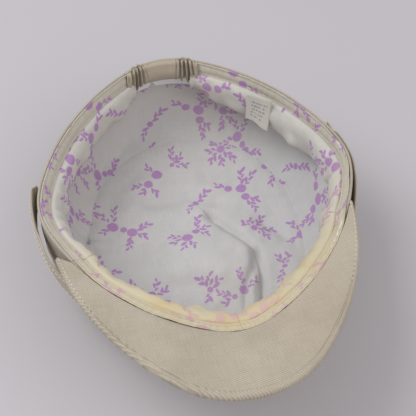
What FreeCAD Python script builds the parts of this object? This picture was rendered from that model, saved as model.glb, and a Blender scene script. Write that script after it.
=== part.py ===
"""Newsboy cap, lying crown down: opening towards +Z, brim towards -Y, button at the origin.

The cloth layers are closed shells between oval rings; each ring is an oval whose
half-width, half-length, centre and squareness come from the spreadsheet.
"""
import FreeCAD, Part
import Sketcher
import math
import os

Vector = FreeCAD.Vector
Rotation = FreeCAD.Rotation
Placement = FreeCAD.Placement

doc = FreeCAD.newDocument("newsboy_cap")
sheet = doc.addObject("Spreadsheet::Sheet", "Sizes")

# Driving dimensions, millimetres and degrees.
SIZES = [
    # heights above the face the crown rests on
    ("rim_height", 68), ("seam_height", 38), ("puff_height", 27),
    # ring where the crown lies flat
    ("base_half_width", 70), ("base_half_length", 82),
    ("base_shift_side", 3), ("base_shift_back", 9), ("base_power", 2.3),
    # widest ring of the puffed crown
    ("puff_half_width", 85), ("puff_half_length", 102),
    ("puff_shift_side", 3), ("puff_shift_back", 13), ("puff_power", 2.4),
    # ring where crown and band are sewn together
    ("seam_half_width", 84), ("seam_half_length", 96.5),
    ("seam_shift_side", 1.5), ("seam_shift_back", 3), ("seam_power", 1.8),
    # head opening
    ("rim_half_width", 84.5), ("rim_half_length", 95.5),
    ("rim_shift_side", 1.4), ("rim_shift_back", -2), ("rim_power", 1.6),
    # lining: flat top and the knee of its side wall
    ("lining_floor_height", 7), ("lining_floor_half_width", 60), ("lining_floor_half_length", 70),
    ("lining_floor_shift_back", 6), ("lining_knee_height", 21),
    ("lining_knee_half_width", 77), ("lining_knee_half_length", 87),
    ("lining_knee_shift_back", 6), ("lining_power", 2.2), ("lining_top_edge", 59),
    # cloth layers of the band, as depth in from the outer face
    ("cloth", 1.0), ("layer_gap", 0.3), ("stiffener", 0.6), ("facing", 0.9),
    ("facing_width", 7), ("sweatband_puff", 2.4), ("sweatband_low", 38.5), ("sweatband_high", 62.5),
    ("sweatband_lean", 14),
    # gathered elastic at the back
    ("casing_half_width", 20), ("elastic_thickness", 1.4), ("elastic_low", 44), ("elastic_high", 62),
    # covered button in a dimple at the middle of the crown
    ("button_radius", 10.5), ("button_height", 3.2), ("button_cloth", 0.7), ("button_turn_in", 4),
    ("button_gap", 0.1), ("dimple_radius", 12.5), ("dimple_depth", 3.6),
    # brim: a bent board between two covers, hinged in the seam at its two ends
    ("brim_hinge_y", -35), ("brim_half_span", 76), ("brim_reach", 99.5), ("brim_nose_radius", 50),
    ("brim_side_radius", 150), ("brim_bend_radius", 270), ("brim_sag", 11), ("brim_tilt", 10.4),
    ("brim_cover", 0.9), ("brim_board", 2.0), ("brim_ply_gap", 0.1), ("brim_seam_gap", 0.5),
    ("brim_board_margin", 3),
    # strap across the front, tacked at both sides
    ("strap_low", 41), ("strap_width", 20), ("strap_stand_off", 1.0), ("strap_thickness", 1.8),
    ("strap_end_y", 27), ("tack_y", 14), ("tack_length", 12), ("tack_width", 1.6), ("tack_height", 0.9),
    ("tack_gap", 0.05),
    # sewn label hanging from the sweatband
    ("label_width", 15), ("label_drop", 20), ("label_thickness", 0.5), ("label_top", 62),
    ("label_x", 52.7), ("label_y", 53.7), ("label_turn", 49),
]
for row, (alias, value) in enumerate(SIZES, start=1):
    sheet.set("A%d" % row, alias.replace("_", " "))
    sheet.set("B%d" % row, str(value))
    sheet.setAlias("B%d" % row, alias)
doc.recompute()


def size(alias):
    """The value of one driving dimension."""
    return float(getattr(sheet, alias))


# ---------------------------------------------------------------- oval rings

RING_POINTS = 16
REACH = 250.0            # larger than the cap, for cutting shapes
SPARE = 10.0             # how far a blank goes past the outline cut from it
PAST = 0.1               # how far a cutting shape goes past the face it opens


def station(name):
    """Half-width, half-length, side shift, back shift and squareness of a named ring."""
    return [size("%s_%s" % (name, key))
            for key in ("half_width", "half_length", "shift_side", "shift_back", "power")]


def between(first, last, share):
    """A ring part of the way from one ring to another."""
    return [a + (b - a) * share for a, b in zip(first, last)]


def ring(ring_values, z, inset, front_lean=0):
    """Closed oval at height z, `inset` mm inside the ring's outer edge, its front half shortened."""
    half_width, half_length, side, back, power = ring_values
    points = []
    for k in range(RING_POINTS):
        angle = 2 * math.pi * k / RING_POINTS
        cosine, sine = math.cos(angle), math.sin(angle)
        x = math.copysign(abs(cosine) ** (2 / power), cosine) * (half_width - inset)
        reach = half_length - inset - (front_lean if sine < 0 else 0)
        y = math.copysign(abs(sine) ** (2 / power), sine) * reach
        points.append(Vector(side + x, back + y, z))
    curve = Part.BSplineCurve()
    curve.interpolate(Points=points, PeriodicFlag=True)
    return Part.Wire([curve.toShape()])


def loft(rings):
    """Closed solid through a stack of rings, straight from ring to ring."""
    return Part.makeLoft(rings, True, True)


def band_ring(z, inset):
    """Ring of the upright band at height z, between the crown seam and the rim."""
    share = (z - size("seam_height")) / (size("rim_height") - size("seam_height"))
    return ring(between(station("seam"), station("rim"), share), z, inset)


def band_shell(low, high, outer_inset, inner_inset):
    """One layer of the band: a tube between two depths in from the outer face."""
    outer = loft([band_ring(low, outer_inset), band_ring(high, outer_inset)])
    inner = loft([band_ring(low - 1, inner_inset), band_ring(high + 1, inner_inset)])
    return outer.cut(inner)


def block(low, high):
    """Box between two corners."""
    return Part.makeBox(*(high - low), low)


casing = size("casing_half_width")
back_gap = block(Vector(-casing, 0, -REACH), Vector(casing, REACH, REACH))
left_side = block(Vector(-REACH, -REACH, -REACH), Vector(0, REACH, REACH))
right_side = block(Vector(0, -REACH, -REACH), Vector(REACH, REACH, REACH))

sub_parts = []


def soft_part(label, shape):
    """A cloth sub-part whose shape is worked out above."""
    part = doc.addObject("Part::Feature", label)
    part.Label = label
    part.Shape = shape if shape.ShapeType == "Solid" else shape.Solids[0]
    part.Placement = Placement()
    sub_parts.append(part)
    return part


# ---------------------------------------------------------------- crown

CROWN_PANELS = 8
LOWER_STEPS = 4
UPPER_STEPS = 2


def crown_rings(inset, floor):
    """Rings up the crown: out from the resting face, round the puff, in to the seam."""
    base, puff, seam = station("base"), station("puff"), station("seam")
    puff_z, seam_z = size("puff_height"), size("seam_height")
    rings = []
    for k in range(LOWER_STEPS + 1):
        angle = math.pi / 2 * k / LOWER_STEPS
        z = max(floor, puff_z * (1 - math.cos(angle)))
        rings.append(ring(between(base, puff, math.sin(angle)), z, inset))
    for k in range(1, UPPER_STEPS + 1):
        angle = math.pi / 2 * k / UPPER_STEPS
        z = puff_z + (seam_z - puff_z) * math.sin(angle)
        rings.append(ring(between(seam, puff, math.cos(angle)), z, inset))
    return rings


cloth = size("cloth")
cavity_rings = crown_rings(cloth, cloth)
cavity_rings.append(ring(station("seam"), size("seam_height") + 1, cloth))
crown = loft(crown_rings(0, 0)).cut(loft(cavity_rings))
dimple_wall = Part.makeCylinder(size("dimple_radius") + cloth, size("dimple_depth") + cloth)
dimple = Part.makeCylinder(size("dimple_radius"), size("dimple_depth"))
crown = crown.fuse(dimple_wall).cut(dimple)

for k in range(CROWN_PANELS):
    start, end = (2 * math.pi * (k + step) / CROWN_PANELS for step in (0, 1))
    corners = [Vector(0, 0, -1),
               Vector(REACH * math.cos(start), REACH * math.sin(start), -1),
               Vector(REACH * math.cos(end), REACH * math.sin(end), -1), Vector(0, 0, -1)]
    wedge = Part.Face(Part.makePolygon(corners)).extrude(Vector(0, 0, REACH))
    soft_part("crown_panel_%d" % (k + 1), crown.common(wedge))

# ---------------------------------------------------------------- button


def origin_plane(body, role):
    """A body's own origin plane, such as XZ_Plane."""
    return [f for f in body.Origin.OriginFeatures if f.Role == role][0]


def new_body(label, listed=True):
    """A PartDesign body; unlisted ones are blanks that a boolean trims."""
    body = doc.addObject("PartDesign::Body", label)
    body.Label = label
    if listed:
        sub_parts.append(body)
    return body


def new_sketch(body, name, role):
    """A sketch flat on one of the body's origin planes."""
    sketch = body.newObject("Sketcher::SketchObject", name)
    sketch.AttachmentSupport = [(origin_plane(body, role), "")]
    sketch.MapMode = "FlatFace"
    return sketch


def bound(sketch, constraint, name, expression):
    """Add a named constraint and bind it to the spreadsheet."""
    index = sketch.addConstraint(constraint)
    sketch.renameConstraint(index, name)
    sketch.setExpression("Constraints." + name, expression)


def profile(sketch, names):
    """Closed outline of straight runs through (x name, y name) expression pairs."""
    values = [(evaluate(x), evaluate(y)) for x, y in names]
    count = len(values)
    for k in range(count):
        start, end = values[k], values[(k + 1) % count]
        sketch.addGeometry(Part.LineSegment(Vector(*start, 0), Vector(*end, 0)), False)
    for k in range(count):
        sketch.addConstraint(Sketcher.Constraint("Coincident", k, 2, (k + 1) % count, 1))
    for k, (x, y) in enumerate(names):
        for word, kind, axis, value, text in (("across", "DistanceX", -2, values[k][0], x),
                                              ("up", "DistanceY", -1, values[k][1], y)):
            if value == 0:
                sketch.addConstraint(Sketcher.Constraint("PointOnObject", k, 1, axis))
            else:
                bound(sketch, Sketcher.Constraint(kind, -1, 1, k, 1, value),
                      "%s_%d" % (word, k), text)


def evaluate(expression):
    """Value of a spreadsheet expression such as 'Sizes.cloth * 2'."""
    return float(sheet.evalExpression(expression.replace("Sizes.", "")))


def turned(label, outline):
    """A piece turned about the Z axis from its half outline."""
    body = new_body(label)
    sketch = new_sketch(body, label + "_outline", "XZ_Plane")
    profile(sketch, outline)
    revolution = body.newObject("PartDesign::Revolution", label + "_turned")
    revolution.Profile = sketch
    revolution.ReferenceAxis = (sketch, ["V_Axis"])
    revolution.Angle = 360
    return body


inner_radius = "Sizes.button_radius - Sizes.button_cloth"
inner_top = "Sizes.button_height - Sizes.button_cloth"
turn_in_radius = "Sizes.button_radius - Sizes.button_turn_in"
turned("button_cover", [
    ("0", "0"), ("Sizes.button_radius", "0"), ("Sizes.button_radius", "Sizes.button_height"),
    (turn_in_radius, "Sizes.button_height"), (turn_in_radius, inner_top),
    (inner_radius, inner_top), (inner_radius, "Sizes.button_cloth"), ("0", "Sizes.button_cloth")])
core_radius = inner_radius + " - Sizes.button_gap"
core_bottom = "Sizes.button_cloth + Sizes.button_gap"
core_top = inner_top + " - Sizes.button_gap"
turned("button_core", [
    ("0", core_bottom), (core_radius, core_bottom), (core_radius, core_top), ("0", core_top)])

# ---------------------------------------------------------------- lining


def lining_ring(name, height, inset):
    """Ring of the lining's flat top or of the knee in its side wall."""
    values = [size("lining_%s_half_width" % name), size("lining_%s_half_length" % name),
              size("base_shift_side"), size("lining_%s_shift_back" % name), size("lining_power")]
    return ring(values, height, inset)


lining_depth = cloth + size("layer_gap") + size("stiffener") + size("layer_gap")
lining_inner = lining_depth + size("facing")
floor_z, knee_z = size("lining_floor_height"), size("lining_knee_height")
top_z, seam_z = size("lining_top_edge"), size("seam_height")
lining_outside = loft([lining_ring("floor", floor_z, 0), lining_ring("knee", knee_z, 0),
                       band_ring(seam_z, lining_depth), band_ring(top_z, lining_depth)])
lining_inside = loft([lining_ring("floor", floor_z - PAST, cloth), lining_ring("knee", knee_z, cloth),
                      band_ring(seam_z, lining_inner), band_ring(top_z + 1, lining_inner)])
lining_wall = lining_outside.cut(lining_inside)
lining_wall = lining_wall.cut(back_gap.common(block(Vector(-REACH, 0, size("elastic_low") - 2),
                                                    Vector(REACH, REACH, REACH))))
soft_part("lining_side_left", lining_wall.common(left_side))
soft_part("lining_side_right", lining_wall.common(right_side))
soft_part("lining_top", loft([lining_ring("floor", floor_z - cloth, 0), lining_ring("floor", floor_z, 0)]))

# ---------------------------------------------------------------- band

rim_z, gap = size("rim_height"), size("layer_gap")
outer_band = band_shell(seam_z + gap, rim_z, 0, cloth)
soft_part("band_outer_left", outer_band.cut(back_gap).common(left_side))
soft_part("band_outer_right", outer_band.cut(back_gap).common(right_side))
soft_part("band_stiffener", band_shell(seam_z + gap, rim_z - cloth, cloth + gap,
                                       cloth + gap + size("stiffener")).cut(back_gap))
soft_part("rim_facing", band_shell(rim_z - size("facing_width"), rim_z - gap, lining_depth,
                                   lining_inner).cut(back_gap))
sweat_depth = lining_inner + gap
sweat_inner = sweat_depth + size("sweatband_puff")
sweat_low, sweat_high = size("sweatband_low"), size("sweatband_high")


def leaning_ring(inset, past):
    """Lower edge of the sweatband, which falls away from the band at the front only."""
    return ring(station("seam"), sweat_low - past, inset, size("sweatband_lean"))


sweat_outside = loft([leaning_ring(sweat_depth, 0), band_ring(sweat_high, sweat_depth)])
sweat_inside = loft([leaning_ring(sweat_inner, PAST), band_ring(sweat_high + PAST, sweat_inner)])
soft_part("sweatband", sweat_outside.cut(sweat_inside).cut(back_gap))

# ---------------------------------------------------------------- gathered elastic

casing_slot = block(Vector(gap - casing, 0, -REACH), Vector(casing - gap, REACH, REACH))
elastic_depth = cloth + gap
elastic_inner = elastic_depth + size("elastic_thickness")
soft_part("elastic_casing_outer", outer_band.common(casing_slot))
soft_part("back_elastic", band_shell(size("elastic_low"), size("elastic_high"), elastic_depth,
                                     elastic_inner).common(casing_slot))
soft_part("elastic_casing_inner", band_shell(size("elastic_low") - 1, rim_z, elastic_inner + gap,
                                             elastic_inner + gap + cloth).common(casing_slot))

# ---------------------------------------------------------------- strap

strap_top = size("strap_low") + size("strap_width")
strap_face = -size("strap_stand_off") - size("strap_thickness")
strap_zone = block(Vector(-REACH, -REACH, -REACH), Vector(REACH, size("strap_end_y"), REACH))
soft_part("front_strap", band_shell(size("strap_low"), strap_top, strap_face,
                                    -size("strap_stand_off")).common(strap_zone))

# ---------------------------------------------------------------- brim


def brim_cutter(body, name, half_width, reach):
    """Cut away all but the brim's outline: a round nose, an arc down each side, a straight back."""
    nose, side = size("brim_nose_radius"), size("brim_side_radius")
    nose_y = nose - reach
    # centre of the side arc: it holds the brim's end and touches the nose arc inside
    along = math.hypot(half_width, nose_y)
    near_end = (side ** 2 - (side - nose) ** 2 + along ** 2) / (2 * along)
    off_line = math.sqrt(side ** 2 - near_end ** 2)
    unit_x, unit_y = -half_width / along, nose_y / along
    side_x = half_width + near_end * unit_x + off_line * unit_y
    side_y = near_end * unit_y - off_line * unit_x
    stretch = side / math.hypot(side_x, nose_y - side_y)
    join = Vector(side_x - side_x * stretch, side_y + (nose_y - side_y) * stretch, 0)
    sketch = new_sketch(body, name, "XY_Plane")
    frame_corners = [Vector(REACH, REACH, 0), Vector(-REACH, REACH, 0),
                     Vector(-REACH, -REACH, 0), Vector(REACH, -REACH, 0)]
    for k in range(4):
        sketch.addGeometry(Part.LineSegment(frame_corners[k], frame_corners[(k + 1) % 4]), False)
        sketch.addConstraint(Sketcher.Constraint("Block", k))
    side_angle = math.atan2(join.y - side_y, join.x - side_x)
    end_angle = math.atan2(-side_y, half_width - side_x)
    nose_angle = math.atan2(join.y - nose_y, join.x)
    up = Vector(0, 0, 1)
    right_arc = Part.ArcOfCircle(Part.Circle(Vector(side_x, side_y, 0), up, side), side_angle, end_angle)
    left_arc = Part.ArcOfCircle(Part.Circle(Vector(-side_x, side_y, 0), up, side),
                                math.pi - end_angle, math.pi - side_angle)
    nose_arc = Part.ArcOfCircle(Part.Circle(Vector(0, nose_y, 0), up, nose),
                                -math.pi - nose_angle, nose_angle)
    back = Part.LineSegment(Vector(half_width, 0, 0), Vector(-half_width, 0, 0))
    for edge in (right_arc, left_arc, nose_arc, back):
        sketch.addGeometry(edge, False)
    return sketch


def brim_ply(label, radius_step, thickness, margin):
    """One ply: a bent slab trimmed to the brim's outline and to the band it is sewn to."""
    body = new_body(label + "_blank", listed=False)
    section = new_sketch(body, label + "_bend", "XZ_Plane")
    inner = size("brim_bend_radius") + radius_step
    outer = inner + thickness
    span = size("brim_half_span") + SPARE
    centre = Vector(0, size("brim_bend_radius") - size("brim_sag"), 0)
    arcs = []
    for radius in (inner, outer):
        half_angle = math.asin(span / radius)
        circle = Part.Circle(centre, Vector(0, 0, 1), radius)
        arcs.append(Part.ArcOfCircle(circle, -math.pi / 2 - half_angle, -math.pi / 2 + half_angle))
    for arc in arcs:
        section.addGeometry(arc, False)
    ends = [(arcs[0].StartPoint, arcs[1].StartPoint), (arcs[0].EndPoint, arcs[1].EndPoint)]
    for start, end in ends:
        section.addGeometry(Part.LineSegment(start, end), False)
    pad = body.newObject("PartDesign::Pad", label + "_slab")
    pad.Profile = section
    pad.setExpression("Length", "2 * Sizes.brim_reach + %g" % (2 * SPARE))
    pad.Midplane = True
    doc.recompute()
    outline = brim_cutter(body, label + "_outline", size("brim_half_span") - margin,
                          size("brim_reach") - margin)
    pocket = body.newObject("PartDesign::Pocket", label + "_trim")
    pocket.Profile = outline
    pocket.Type = 1
    pocket.Midplane = True
    doc.recompute()
    body.Placement = Placement(Vector(0, 0, 0), Rotation(Vector(1, 0, 0), -size("brim_tilt")))
    body.setExpression("Placement.Base.y", "Sizes.brim_hinge_y")
    body.setExpression("Placement.Base.z", "Sizes.rim_height")
    doc.recompute()
    clear = -size("brim_seam_gap") - margin
    plug = loft([band_ring(seam_z, clear), band_ring(rim_z, clear),
                 ring(station("rim"), rim_z + size("brim_reach"), clear)])
    shape = body.Shape.cut(plug)
    largest = max(shape.Solids, key=lambda solid: solid.Volume)
    soft_part(label, largest)


ply_gap, cover = size("brim_ply_gap"), size("brim_cover")
board = size("brim_board")
brim_ply("brim_under_cover", 0, cover, 0)
brim_ply("brim_board", cover + ply_gap, board, size("brim_board_margin"))
brim_ply("brim_top_cover", cover + board + 2 * ply_gap, cover, 0)

# ---------------------------------------------------------------- small sewn parts


def plate(label, outline, thickness):
    """A flat piece standing on edge: an outline on the XZ plane, padded to its thickness."""
    body = new_body(label)
    sketch = new_sketch(body, label + "_outline", "XZ_Plane")
    profile(sketch, outline)
    pad = body.newObject("PartDesign::Pad", label + "_pad")
    pad.Profile = sketch
    pad.setExpression("Length", thickness)
    pad.Midplane = True
    return body


def rectangle(width, height):
    """Corner expressions of a rectangle centred on the origin."""
    half_width, half_height = width + " / 2", height + " / 2"
    return [("-" + half_width, "-" + half_height), (half_width, "-" + half_height),
            (half_width, half_height), ("-" + half_width, half_height)]


label_body = plate("care_label", rectangle("Sizes.label_width", "Sizes.label_drop"),
                   "Sizes.label_thickness")
label_body.Placement = Placement(Vector(0, 0, 0), Rotation(Vector(0, 0, 1), -size("label_turn")))
label_body.setExpression("Placement.Base.x", "Sizes.label_x")
label_body.setExpression("Placement.Base.y", "Sizes.label_y")
label_body.setExpression("Placement.Base.z", "Sizes.label_top - Sizes.label_drop / 2")

strap_middle = size("strap_low") + size("strap_width") / 2
tack_depth = -strap_face + size("tack_height") / 2 + size("tack_gap")
for label, side in (("strap_tack_left", -1), ("strap_tack_right", 1)):
    tack = plate(label, rectangle("Sizes.tack_width", "Sizes.tack_length"), "Sizes.tack_height")
    tack_ring = band_ring(strap_middle, -tack_depth)
    column = Part.makeLine(Vector(0, size("tack_y"), strap_middle),
                           Vector(side * REACH, size("tack_y"), strap_middle))
    reach_out = tack_ring.distToShape(column)
    spot = reach_out[1][0][0]
    tack.Placement = Placement(spot, Rotation(Vector(0, 0, 1), 90))

# ---------------------------------------------------------------- check and write

doc.recompute()
failed = [obj.Label for obj in doc.Objects if {"Invalid", "Error"} & set(obj.State)]
if failed:
    raise RuntimeError("failed objects: %s" % failed)
for obj in sub_parts:
    shape = obj.Shape
    if shape.isNull() or not shape.isValid() or shape.Volume <= 0:
        raise RuntimeError("bad shape: %s" % obj.Label)
    print("%-22s %9.1f mm3" % (obj.Label, shape.Volume))
os.makedirs("parts", exist_ok=True)
for obj in sub_parts:
    obj.Shape.exportStep("parts/%s.step" % obj.Label)
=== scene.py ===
import bpy
import numpy as np
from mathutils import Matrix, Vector


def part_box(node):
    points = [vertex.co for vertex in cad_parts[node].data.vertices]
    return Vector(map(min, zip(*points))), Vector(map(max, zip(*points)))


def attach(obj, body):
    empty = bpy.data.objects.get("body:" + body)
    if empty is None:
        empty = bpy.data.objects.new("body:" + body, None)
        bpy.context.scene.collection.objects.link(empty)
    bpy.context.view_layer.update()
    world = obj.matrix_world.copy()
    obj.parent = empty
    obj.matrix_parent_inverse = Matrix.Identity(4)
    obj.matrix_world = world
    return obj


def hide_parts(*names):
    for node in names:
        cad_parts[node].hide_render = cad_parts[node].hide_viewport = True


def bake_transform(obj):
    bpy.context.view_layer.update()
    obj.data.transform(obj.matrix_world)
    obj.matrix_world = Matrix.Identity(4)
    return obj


# A newsboy cap lying crown down on a table: beige cotton twill outside, white cotton with a lilac
# sprig print inside. Sizes are millimetres until a mesh is stored; the head opening faces +Z, the
# brim lies towards -Y and the gathered back towards +Y.

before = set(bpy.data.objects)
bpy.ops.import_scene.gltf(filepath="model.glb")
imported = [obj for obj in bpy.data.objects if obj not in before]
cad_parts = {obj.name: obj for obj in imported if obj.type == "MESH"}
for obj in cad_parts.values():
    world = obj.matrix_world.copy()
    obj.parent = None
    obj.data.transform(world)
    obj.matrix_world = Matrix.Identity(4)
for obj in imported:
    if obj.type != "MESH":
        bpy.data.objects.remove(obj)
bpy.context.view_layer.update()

# ---------------------------------------------------------------- camera, table and light
# The cap is seen from the brim side, from above and slightly to its left, on a pale table. A large
# window-like light stands at the upper left and the room fills the rest.

bpy.context.scene.view_settings.view_transform = "Standard"
rim_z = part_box("band_outer_left")[1][2] * 1000
camera_aim = Vector((0.0027, -0.0219, rim_z / 1000))
camera_direction = Vector((-0.1486, -0.6003, 0.7859))
camera_distance = 0.520

camera = bpy.data.objects.new("camera", bpy.data.cameras.new("camera"))
bpy.context.scene.collection.objects.link(camera)
camera.location = camera_aim + camera_distance * camera_direction
camera.rotation_euler = camera_direction.to_track_quat("Z", "Y").to_euler()
camera.data.lens = 87
camera.data.sensor_width = 36
camera.data.clip_start = 0.01
bpy.context.scene.camera = camera


def area_light(name, place, aim, size, power, colour):
    """A square lamp of `size` metres at `place`, turned to face `aim`."""
    lamp = bpy.data.lights.new(name, "AREA")
    lamp.shape = "SQUARE"
    lamp.size, lamp.energy, lamp.color = size, power, colour
    holder = bpy.data.objects.new(name, lamp)
    holder.location = place
    holder.rotation_euler = (Vector(place) - Vector(aim)).to_track_quat("Z", "Y").to_euler()
    bpy.context.scene.collection.objects.link(holder)


area_light("window_light", (-0.72, 0.22, 1.15), (0, 0, 0.03), 0.8, 8.6, (0.96, 0.975, 1.0))
area_light("room_light", (0.6, -0.8, 1.1), (0, 0, 0.03), 1.2, 5.4, (1.0, 0.95, 0.91))

world = bpy.data.worlds.new("room")
bpy.context.scene.world = world
world.use_nodes = True
world.node_tree.nodes["Background"].inputs["Color"].default_value = (0.93, 0.93, 1.0, 1)
world.node_tree.nodes["Background"].inputs["Strength"].default_value = 0.58


def store_mesh(name, points, faces, loop_uv=None, smooth=True):
    """A mesh object from points in millimetres, faces as an array of corner indices."""
    mesh = bpy.data.meshes.new(name)
    mesh.from_pydata((np.asarray(points, float) * 0.001).tolist(), [], faces.tolist())
    if loop_uv is not None:
        layer = mesh.uv_layers.new(name="cloth")
        layer.data.foreach_set("uv", np.asarray(loop_uv, np.float32).ravel())
    mesh.polygons.foreach_set("use_smooth", np.full(len(mesh.polygons), smooth))
    mesh.update()
    holder = bpy.data.objects.new(name, mesh)
    bpy.context.scene.collection.objects.link(holder)
    return holder


def grid_mesh(name, points, uv=None, closed=False):
    """A sheet of square faces through a (rows, columns, 3) grid; `closed` joins the last column,
    which repeats the first, to the first."""
    rows, columns = points.shape[:2]
    kept = columns - 1 if closed else columns
    index = np.arange(rows)[:, None] * kept + np.arange(columns)[None, :] % kept
    corners = [(0, 0), (0, 1), (1, 1), (1, 0)]
    faces = np.stack([index[a:rows - 1 + a, b:columns - 1 + b] for a, b in corners], -1).reshape(-1, 4)
    loop_uv = None
    if uv is not None:
        loop_uv = np.stack([uv[a:rows - 1 + a, b:columns - 1 + b] for a, b in corners], -2).reshape(-1, 2)
    return store_mesh(name, points[:, :kept].reshape(-1, 3), faces, loop_uv)


table_size = 3000.0
table_grid = np.array([[(-table_size, -table_size, 0), (table_size, -table_size, 0)],
                       [(-table_size, table_size, 0), (table_size, table_size, 0)]], float)


def stage_material(name, colour):
    """Matt painted surface with a faint cloudy unevenness."""
    material = bpy.data.materials.new(name)
    material.use_nodes = True
    nodes, links = material.node_tree.nodes, material.node_tree.links
    shader = nodes["Principled BSDF"]
    shader.inputs["Roughness"].default_value = 0.7
    noise = nodes.new("ShaderNodeTexNoise")
    noise.inputs["Scale"].default_value = 3.0
    ramp = nodes.new("ShaderNodeValToRGB")
    ramp.color_ramp.elements[0].color = (*[c * 0.97 for c in colour], 1)
    ramp.color_ramp.elements[1].color = (*[min(1, c * 1.03) for c in colour], 1)
    coordinate = nodes.new("ShaderNodeTexCoord")
    links.new(coordinate.outputs["Object"], noise.inputs["Vector"])
    links.new(noise.outputs["Fac"], ramp.inputs["Fac"])
    links.new(ramp.outputs["Color"], shader.inputs["Base Color"])
    return material


table = grid_mesh("table", table_grid)
table.data.materials.append(stage_material("table_paint", (0.545, 0.522, 0.532)))

# ---------------------------------------------------------------- crown
# Eight gores of beige cotton twill meet at a covered button and puff out past the band. Each is cut
# as a tapering panel and sewn to its neighbours; the cap rests on the flattened middle.

BASE = np.array([68, 80, 4, 11, 2.3])       # half-width, half-length, side shift, back shift, squareness
PUFF = np.array([82, 96.5, 5, 17.5, 2.4])
SEAM = np.array([84, 96.5, 1.5, 3, 1.8])
RIM = np.array([84.5, 95.5, 1.4, -2, 1.6])
seam_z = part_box("crown_panel_1")[1][2] * 1000
puff_z = 27.0
OVAL_POINTS = 16


def oval(ring, angle, inset=0.0):
    """x and y of one oval per row of `ring`, `inset` mm inside it: sixteen points of a superellipse
    joined by the smooth closed curve that their Fourier sum gives."""
    ring = np.atleast_2d(np.asarray(ring, float))
    knots = np.arange(OVAL_POINTS) * 2 * np.pi / OVAL_POINTS
    c, s = np.cos(knots), np.sin(knots)
    bend = 2 / ring[:, 4:5]
    x = np.sign(c) * np.abs(c) ** bend * (ring[:, 0:1] - inset)
    y = np.sign(s) * np.abs(s) ** bend * (ring[:, 1:2] - inset)
    share = np.fft.fft(x + 1j * y, axis=1) / OVAL_POINTS
    order = np.fft.fftfreq(OVAL_POINTS, 1 / OVAL_POINTS)
    wave = np.exp(1j * order[:, None] * angle[None, :])
    wave[OVAL_POINTS // 2] = np.cos(OVAL_POINTS / 2 * angle)
    curve = share @ wave
    return curve.real + ring[:, 2:3], curve.imag + ring[:, 3:4]


def ripple(u, v, seed, length, count=9):
    """Uneven softness from -1 to 1: a sum of seeded plane waves about `length` mm long."""
    draw = np.random.default_rng(seed)
    total = np.zeros(np.broadcast(u, v).shape)
    for _ in range(count):
        heading, phase = draw.uniform(0, 2 * np.pi, 2)
        pitch = length * draw.uniform(0.6, 1.7)
        total += np.sin((u * np.cos(heading) + v * np.sin(heading)) * 2 * np.pi / pitch + phase)
    return total / count * 1.6


def smooth_step(value, low, high):
    """0 below low, 1 above high, an easy curve between."""
    t = np.clip((value - low) / (high - low), 0, 1)
    return t * t * (3 - 2 * t)


def grid_normals(points):
    """Unit normals of a grid, from the cross product of its two directions."""
    normal = np.cross(np.gradient(points, axis=1), np.gradient(points, axis=0))
    return normal / np.maximum(np.linalg.norm(normal, axis=-1, keepdims=True), 1e-9)


def run_length(points, axis):
    """Distance along a grid's rows or columns, in millimetres, averaged over the other direction."""
    steps = np.linalg.norm(np.diff(points, axis=axis), axis=-1)
    mean = steps.mean(axis=1 - axis)
    return np.concatenate([[0], np.cumsum(mean)])


def cloth_uv(points, start=(0, 0)):
    """Flat cloth coordinates in millimetres for a grid: along its columns and along its rows."""
    u = run_length(points, 1) + start[0]
    v = run_length(points, 0) + start[1]
    return np.stack(np.broadcast_arrays(u[None, :], v[:, None]), -1)


def thicken(piece, thickness, offset=-1.0, edges=True):
    """Give a sheet its cloth thickness, inwards of its faces by default. Cloth whose edges are all
    sewn out of sight goes without edge faces, which would shade the seams dark."""
    wall_maker = piece.modifiers.new("cloth_thickness", "SOLIDIFY")
    wall_maker.thickness = thickness * 0.001
    wall_maker.offset = offset
    wall_maker.use_even_offset = False
    wall_maker.use_rim = edges


def new_group(name, inputs, outputs):
    """A node group with named sockets; returns it with its input and output nodes."""
    group = bpy.data.node_groups.new(name, "ShaderNodeTree")
    for label, kind, value in inputs:
        socket = group.interface.new_socket(label, in_out="INPUT", socket_type=kind)
        if value is not None:
            socket.default_value = value
    for label, kind in outputs:
        group.interface.new_socket(label, in_out="OUTPUT", socket_type=kind)
    return group, group.nodes.new("NodeGroupInput"), group.nodes.new("NodeGroupOutput")


class Wiring:
    """Short calls that add a node, set its sockets and give back its first output."""

    def __init__(self, tree):
        self.nodes, self.links = tree.nodes, tree.links

    def add(self, kind, values=(), output=0, **settings):
        node = self.nodes.new(kind)
        for key, value in settings.items():
            setattr(node, key, value)
        for socket, value in values:
            if isinstance(value, bpy.types.NodeSocket):
                self.links.new(value, node.inputs[socket])
            else:
                node.inputs[socket].default_value = value
        return node.outputs[output]

    def vector(self, operation, *values, output=0):
        return self.add("ShaderNodeVectorMath", enumerate(values), output, operation=operation)

    def parts(self, vector):
        return self.add("ShaderNodeSeparateXYZ", [(0, vector)]).node.outputs

    def math(self, operation, a, b=0.0, c=0.0):
        return self.add("ShaderNodeMath", [(0, a), (1, b), (2, c)], operation=operation)

    def mix(self, factor, a, b, blend="MIX"):
        return self.add("ShaderNodeMix", [(0, factor), (6, a), (7, b)], output=2,
                        data_type="RGBA", blend_type=blend)

    def noise(self, vector, scale, detail=2.0, roughness=0.5):
        return self.add("ShaderNodeTexNoise", [("Vector", vector), ("Scale", scale),
                                               ("Detail", detail), ("Roughness", roughness)])

    def ramp(self, value, low, high, start=0.0, end=1.0):
        return self.add("ShaderNodeMapRange", [(0, value), (1, low), (2, high), (3, start), (4, end)],
                        interpolation_type="SMOOTHSTEP")


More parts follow.
